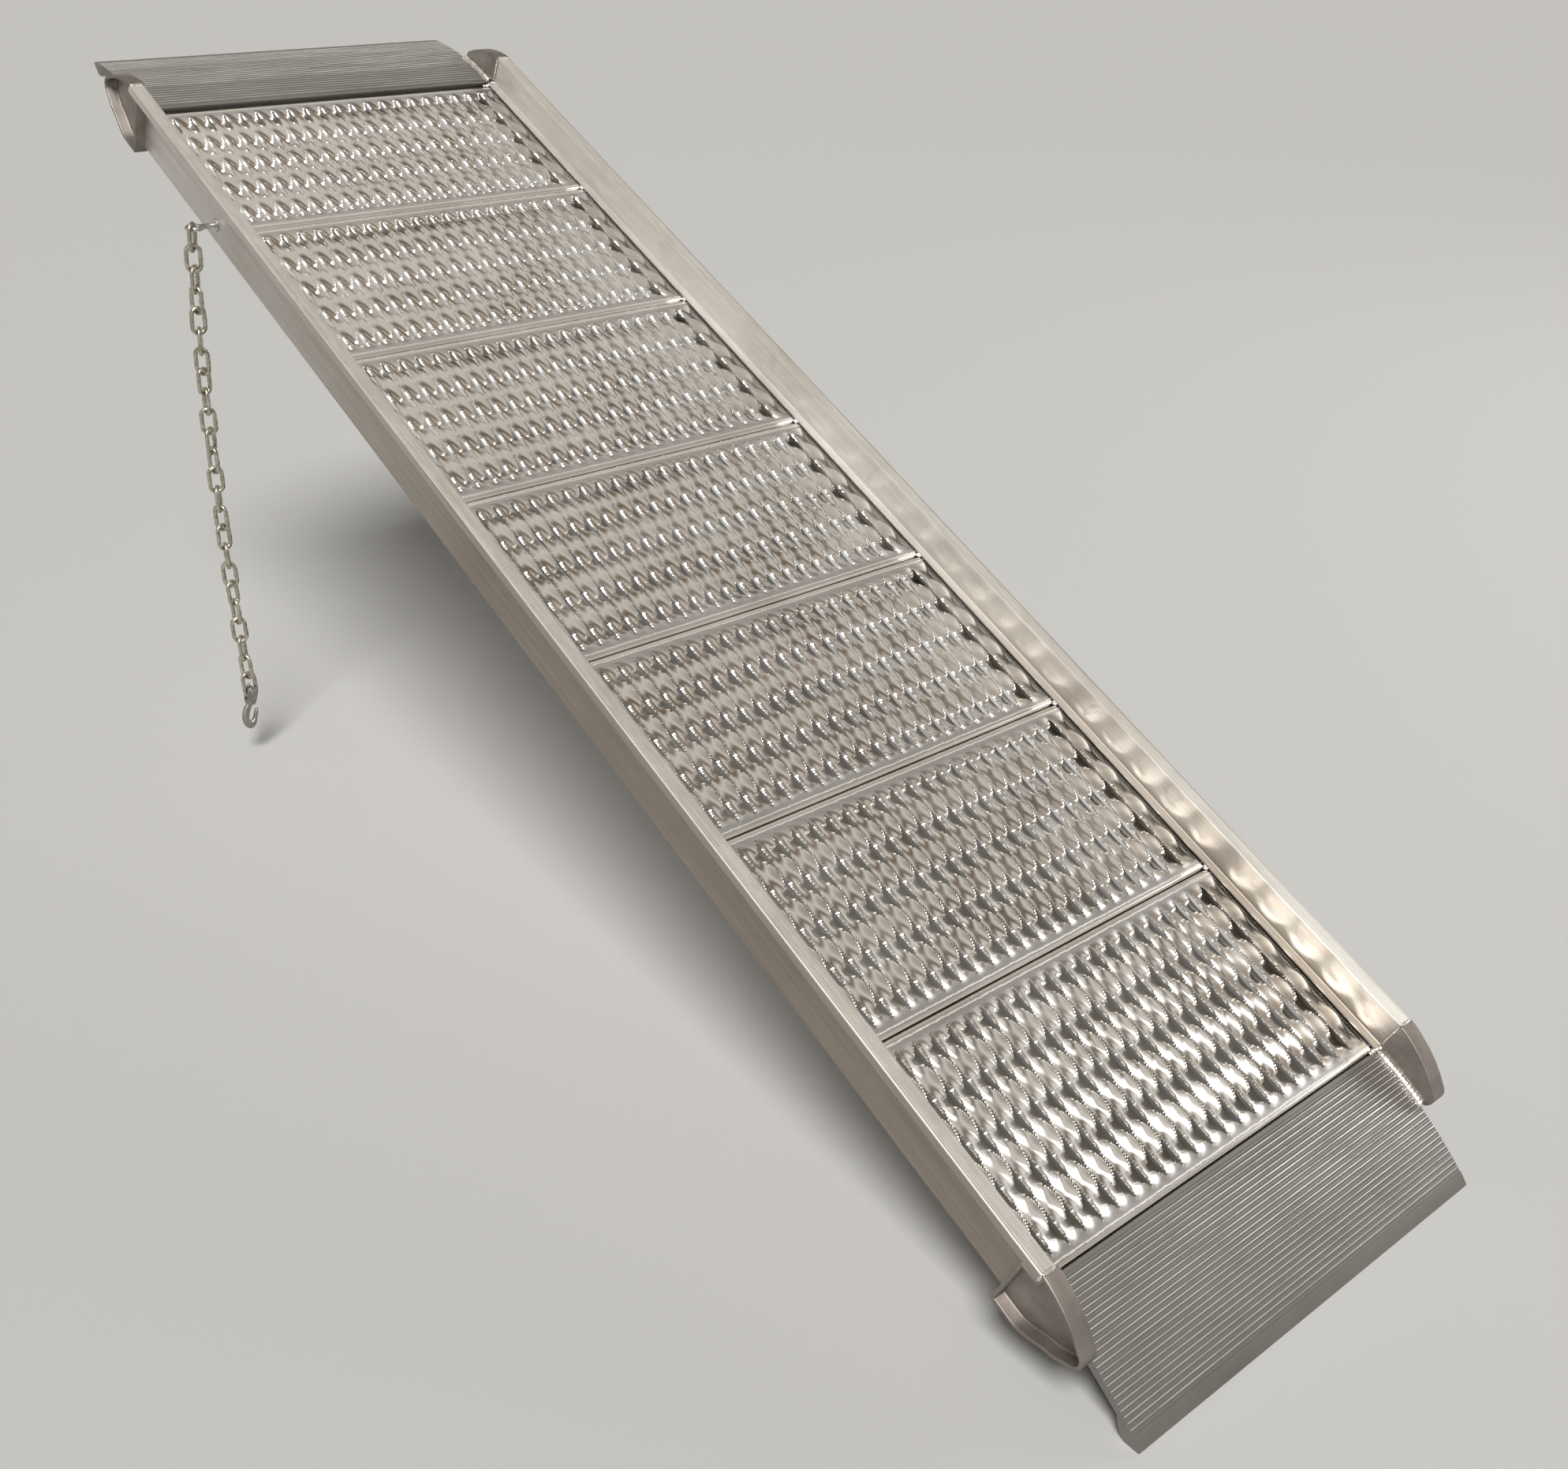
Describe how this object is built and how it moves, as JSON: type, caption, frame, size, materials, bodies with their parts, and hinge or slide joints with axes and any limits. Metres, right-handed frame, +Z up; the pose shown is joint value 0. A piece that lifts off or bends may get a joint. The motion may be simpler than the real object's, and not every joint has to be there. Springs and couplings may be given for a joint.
{
  "type": "loading ramp",
  "caption": "One-piece aluminium loading ramp: punched traction planks between two side rails, a ribbed lip at each end, cast corner brackets and a safety chain with a hook.",
  "frame": {"origin": "the flat underside of the upper lip, on the centre line, where the ramp bears on the bed", "axes": "+Z up with the ramp at its 24 degree working slope, +X down the slope in plan, +Y across to the right rail seen from the foot looking up"},
  "size_m": [2.2452, 0.6997, 1.019],
  "materials": {
    "rail": "mill-finish extrusion with fine lengthwise die lines",
    "plank": "bright punched sheet with heat-clouded edges",
    "lip": "dull ribbed extrusion with bright rib crests",
    "casting": "sand-cast, matt, brownish grey",
    "zinc": "zinc plated",
    "chain": "welded links, yellowish zinc, worn",
    "forging": "self-coloured forging"
  },
  "bodies": {
    "ramp": {"upper_lip": "lip", "lower_lip": "lip", "deck_plank_1": "plank", "deck_plank_2": "plank", "deck_plank_3": "plank", "deck_plank_4": "plank", "deck_plank_5": "plank", "deck_plank_6": "plank", "deck_plank_7": "plank", "side_rail_left": "rail", "side_rail_right": "rail", "rail_flange_left": "rail", "rail_ledge_left": "rail", "rail_shelf_left": "rail", "rail_flange_right": "rail", "rail_ledge_right": "rail", "rail_shelf_right": "rail", "end_casting_upper_left": "casting", "end_casting_upper_right": "casting", "end_casting_lower_left": "casting", "end_casting_lower_right": "casting", "eye_bolt": "zinc", "eye_bolt_washer": "zinc", "eye_bolt_nut": "zinc"},
    "chain_link_01": {"chain_link_01": "chain"},
    "chain_link_02": {"chain_link_02": "chain"},
    "chain_link_03": {"chain_link_03": "chain"},
    "chain_link_04": {"chain_link_04": "chain"},
    "chain_link_05": {"chain_link_05": "chain"},
    "chain_link_06": {"chain_link_06": "chain"},
    "chain_link_07": {"chain_link_07": "chain"},
    "chain_link_08": {"chain_link_08": "chain"},
    "chain_link_09": {"chain_link_09": "chain"},
    "chain_link_10": {"chain_link_10": "chain"},
    "chain_link_11": {"chain_link_11": "chain"},
    "chain_link_12": {"chain_link_12": "chain"},
    "chain_link_13": {"chain_link_13": "chain"},
    "chain_link_14": {"chain_link_14": "chain"},
    "chain_link_15": {"chain_link_15": "chain"},
    "chain_link_16": {"chain_link_16": "chain"},
    "chain_link_17": {"chain_link_17": "chain"},
    "chain_link_18": {"chain_link_18": "chain"},
    "chain_link_19": {"chain_link_19": "chain"},
    "chain_link_20": {"chain_link_20": "chain"},
    "chain_link_21": {"chain_link_21": "chain"},
    "chain_link_22": {"chain_link_22": "chain"},
    "chain_link_23": {"chain_link_23": "chain"},
    "chain_link_24": {"chain_link_24": "chain"},
    "hook": {"grab_hook": "forging", "clevis_pin": "forging", "cotter_pin": "zinc"}
  },
  "joints": [
    {"name": "eye_swing", "type": "hinge", "parent": "ramp", "child": "chain_link_01", "pos_m": [0.34016, -0.35042, -0.15014], "axis": [0.7071, 0.7071, 0], "range_deg": [-30, 30]},
    {"name": "link_02_swing", "type": "hinge", "parent": "chain_link_01", "child": "chain_link_02", "pos_m": [0.33534, -0.35042, -0.18057], "axis": [-0.6984, 0.7071, 0.1106], "range_deg": [-30, 30]},
    {"name": "link_03_swing", "type": "hinge", "parent": "chain_link_02", "child": "chain_link_03", "pos_m": [0.33087, -0.35042, -0.21154], "axis": [0.3708, 0.9272, -0.0535], "range_deg": [-30, 30]},
    {"name": "link_04_swing", "type": "hinge", "parent": "chain_link_03", "child": "chain_link_04", "pos_m": [0.32682, -0.35042, -0.24258], "axis": [-0.6945, 0.7138, 0.0906], "range_deg": [-30, 30]},
    {"name": "link_05_swing", "type": "hinge", "parent": "chain_link_04", "child": "chain_link_05", "pos_m": [0.32319, -0.35042, -0.27367], "axis": [-0.9279, -0.3569, 0.1082], "range_deg": [-30, 30]},
    {"name": "link_06_swing", "type": "hinge", "parent": "chain_link_05", "child": "chain_link_06", "pos_m": [0.31999, -0.35042, -0.30481], "axis": [-0.0458, -0.9989, 0.0047], "range_deg": [-30, 30]},
    {"name": "link_07_swing", "type": "hinge", "parent": "chain_link_06", "child": "chain_link_07", "pos_m": [0.31721, -0.35042, -0.33598], "axis": [0.8939, -0.4412, -0.0796], "range_deg": [-30, 30]},
    {"name": "link_08_swing", "type": "hinge", "parent": "chain_link_07", "child": "chain_link_08", "pos_m": [0.31486, -0.35042, -0.36719], "axis": [0.7608, 0.6464, -0.0573], "range_deg": [-30, 30]},
    {"name": "link_09_swing", "type": "hinge", "parent": "chain_link_08", "child": "chain_link_09", "pos_m": [0.31294, -0.35042, -0.39843], "axis": [-0.2873, 0.9577, 0.0177], "range_deg": [-30, 30]},
    {"name": "link_10_swing", "type": "hinge", "parent": "chain_link_09", "child": "chain_link_10", "pos_m": [0.31145, -0.35042, -0.4297], "axis": [-0.9918, 0.1187, 0.0475], "range_deg": [-30, 30]},
    {"name": "link_11_swing", "type": "hinge", "parent": "chain_link_10", "child": "chain_link_11", "pos_m": [0.31038, -0.35042, -0.46098], "axis": [-0.5052, -0.8628, 0.0173], "range_deg": [-30, 30]},
    {"name": "link_12_swing", "type": "hinge", "parent": "chain_link_11", "child": "chain_link_12", "pos_m": [0.30974, -0.35042, -0.49228], "axis": [0.5889, -0.8081, -0.0121], "range_deg": [-30, 30]},
    {"name": "link_13_swing", "type": "hinge", "parent": "chain_link_12", "child": "chain_link_13", "pos_m": [0.30952, -0.35042, -0.52357], "axis": [0.9761, 0.2172, -0.0067], "range_deg": [-30, 30]},
    {"name": "link_14_swing", "type": "hinge", "parent": "chain_link_13", "child": "chain_link_14", "pos_m": [0.30974, -0.35042, -0.55487], "axis": [0.1908, 0.9816, 0.0013], "range_deg": [-30, 30]},
    {"name": "link_15_swing", "type": "hinge", "parent": "chain_link_14", "child": "chain_link_15", "pos_m": [0.31038, -0.35042, -0.58617], "axis": [-0.8235, 0.5671, -0.0169], "range_deg": [-30, 30]},
    {"name": "link_16_swing", "type": "hinge", "parent": "chain_link_15", "child": "chain_link_16", "pos_m": [0.31145, -0.35042, -0.61745], "axis": [-0.8484, -0.5286, -0.029], "range_deg": [-30, 30]},
    {"name": "link_17_swing", "type": "hinge", "parent": "chain_link_16", "child": "chain_link_17", "pos_m": [0.31294, -0.35042, -0.64871], "axis": [0.1453, -0.9894, 0.007], "range_deg": [-30, 30]},
    {"name": "link_18_swing", "type": "hinge", "parent": "chain_link_17", "child": "chain_link_18", "pos_m": [0.31486, -0.35042, -0.67995], "axis": [0.9633, -0.2619, 0.0593], "range_deg": [-30, 30]},
    {"name": "link_19_swing", "type": "hinge", "parent": "chain_link_18", "child": "chain_link_19", "pos_m": [0.31721, -0.35042, -0.71117], "axis": [0.6238, 0.7801, 0.047], "range_deg": [-30, 30]},
    {"name": "link_20_swing", "type": "hinge", "parent": "chain_link_19", "child": "chain_link_20", "pos_m": [0.31999, -0.35042, -0.74234], "axis": [-0.4634, 0.8852, -0.0413], "range_deg": [-30, 30]},
    {"name": "link_21_swing", "type": "hinge", "parent": "chain_link_20", "child": "chain_link_21", "pos_m": [0.32319, -0.35042, -0.77348], "axis": [-0.9921, -0.0729, -0.102], "range_deg": [-30, 30]},
    {"name": "link_22_swing", "type": "hinge", "parent": "chain_link_21", "child": "chain_link_22", "pos_m": [0.32682, -0.35042, -0.80457], "axis": [-0.3293, -0.9434, -0.0384], "range_deg": [-30, 30]},
    {"name": "link_23_swing", "type": "hinge", "parent": "chain_link_22", "child": "chain_link_23", "pos_m": [0.33087, -0.35042, -0.8356], "axis": [0.7263, -0.6808, 0.0948], "range_deg": [-30, 30]},
    {"name": "link_24_swing", "type": "hinge", "parent": "chain_link_23", "child": "chain_link_24", "pos_m": [0.33534, -0.35042, -0.86658], "axis": [0.9073, 0.3995, 0.131], "range_deg": [-30, 30]},
    {"name": "hook_swing", "type": "hinge", "parent": "chain_link_24", "child": "hook", "pos_m": [0.33909, -0.35042, -0.89029], "axis": [-0.9877, 0, -0.1564], "range_deg": [-40, 40]}
  ]
}
